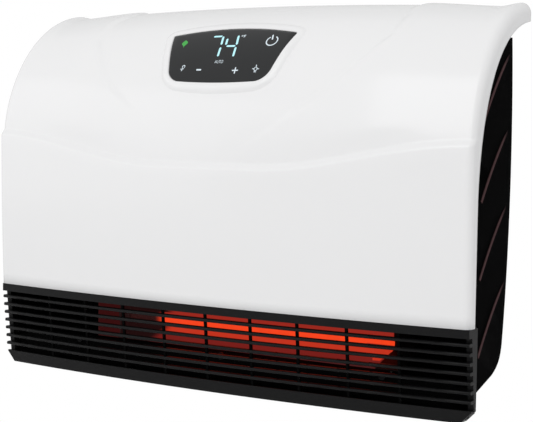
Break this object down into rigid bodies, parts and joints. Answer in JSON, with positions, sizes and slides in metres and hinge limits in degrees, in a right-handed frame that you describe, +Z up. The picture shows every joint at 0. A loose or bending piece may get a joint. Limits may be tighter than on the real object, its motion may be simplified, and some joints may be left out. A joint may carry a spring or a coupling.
{
  "type": "wall-mounted infrared heater",
  "caption": "Wall-hung infrared heater with a bulged white cover, touch display, slatted outlet grille at its foot and a fan-fed heat duct inside.",
  "frame": {"origin": "middle of the wall bracket's four screw holes, on the wall", "axes": "+X to the right seen from the room, +Y into the wall, +Z up"},
  "size_m": [0.478, 0.1205, 0.3315],
  "materials": {
    "white_gloss": "gloss moulded plastic",
    "black_plastic": "fine matt moulded plastic",
    "smoked_lens": "gloss smoked window",
    "board_green": "solder mask on glass-epoxy board",
    "component_black": "component moulding",
    "bracket_steel": "black powder coat on steel",
    "duct_steel": "galvanised sheet",
    "bright_sheet": "polished aluminium sheet",
    "quartz": "clear quartz",
    "heating_wire": "resistance wire, glowing in use",
    "ceramic": "unglazed ceramic",
    "screw_steel": "zinc plated steel",
    "rubber": "soft black rubber",
    "wheel_alloy": "pressed aluminium",
    "motor_steel": "lacquered steel can",
    "bronze": "sintered bronze",
    "filter_plastic": "matt plastic frame",
    "filter_net": "coarse nylon net",
    "heat_sink_alloy": "extruded aluminium",
    "terminal_green": "terminal moulding"
  },
  "bodies": {
    "wall_mount": {"wall_bracket": "bracket_steel"},
    "heater": {"front_cover": "white_gloss", "display_lens": "smoked_lens", "touch_board": "board_green", "display_module": "component_black", "outlet_grille": "black_plastic", "rear_housing": "black_plastic", "side_panel_right": "black_plastic", "side_panel_left": "black_plastic", "wall_bumpers": "rubber", "housing_screws": "screw_steel", "grille_screws": "screw_steel", "heat_duct": "duct_steel", "heat_reflector": "bright_sheet", "quartz_tubes": "quartz", "heating_coils": "heating_wire", "ceramic_caps": "ceramic", "tube_holders": "duct_steel", "thermal_cutout": "component_black", "thermal_fuse": "ceramic", "blower_scroll": "duct_steel", "bearing_grommet": "rubber", "shaft_bearing": "bronze", "motor_bracket": "duct_steel", "blower_motor": "motor_steel", "power_board": "board_green", "transformer": "component_black", "relays": "component_black", "filter_capacitor": "component_black", "terminal_block": "terminal_green", "heat_sink": "heat_sink_alloy", "temperature_probe": "component_black", "cord_gland": "black_plastic"},
    "blower": {"blower_wheel": "wheel_alloy", "blower_shaft": "screw_steel"},
    "filter": {"filter_frame": "filter_plastic", "filter_mesh": "filter_net"}
  },
  "joints": [
    {"name": "lift_off", "type": "slide", "parent": "wall_mount", "child": "heater", "axis": [0, 0, 1], "range_m": [0, 0.01]},
    {"name": "fan_spin", "type": "hinge", "parent": "heater", "child": "blower", "pos_m": [0, -0.067, -0.154], "axis": [1, 0, 0], "continuous": true},
    {"name": "filter_pull", "type": "slide", "parent": "heater", "child": "filter", "axis": [0, 1, 0], "range_m": [0, 0.018]}
  ]
}
